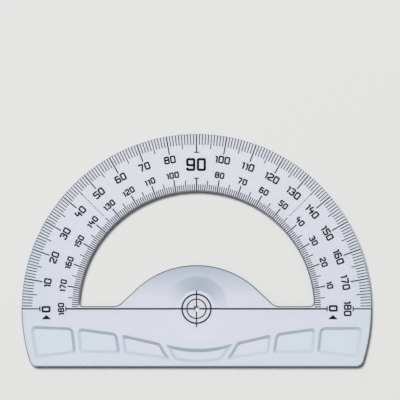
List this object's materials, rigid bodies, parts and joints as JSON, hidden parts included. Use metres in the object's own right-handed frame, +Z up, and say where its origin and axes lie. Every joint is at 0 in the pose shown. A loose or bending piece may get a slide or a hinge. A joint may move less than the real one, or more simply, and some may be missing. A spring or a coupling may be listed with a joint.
{
  "type": "protractor",
  "caption": "Flat half-round school protractor of clear plastic, with printed inner and outer degree scales, a centre target and grip pockets along its straight edge.",
  "frame": {"origin": "centre of the angles: the axis of the centre hole, on the face that lies on the paper", "axes": "+X along the zero line to the right, +Y towards 90 degrees, +Z up from the paper through the plate"},
  "size_m": [0.12, 0.0798, 0.0028],
  "materials": {
    "plate": "clear polystyrene with a pale blue tint, polished",
    "ink": "black screen print, semi-matt"
  },
  "bodies": {
    "root": {"plate": "plate", "outer_degree_ticks": "ink", "outer_five_degree_ticks": "ink", "outer_ten_degree_ticks": "ink", "outer_zero_marks": "ink", "outer_ninety_mark": "ink", "inner_degree_ticks": "ink", "inner_five_degree_ticks": "ink", "inner_ten_degree_ticks": "ink", "inner_ninety_mark": "ink", "base_line": "ink", "centre_cross_line": "ink", "target_rings": "ink", "forty_five_degree_dots": "ink", "zero_pointers": "ink"}
  },
  "joints": []
}
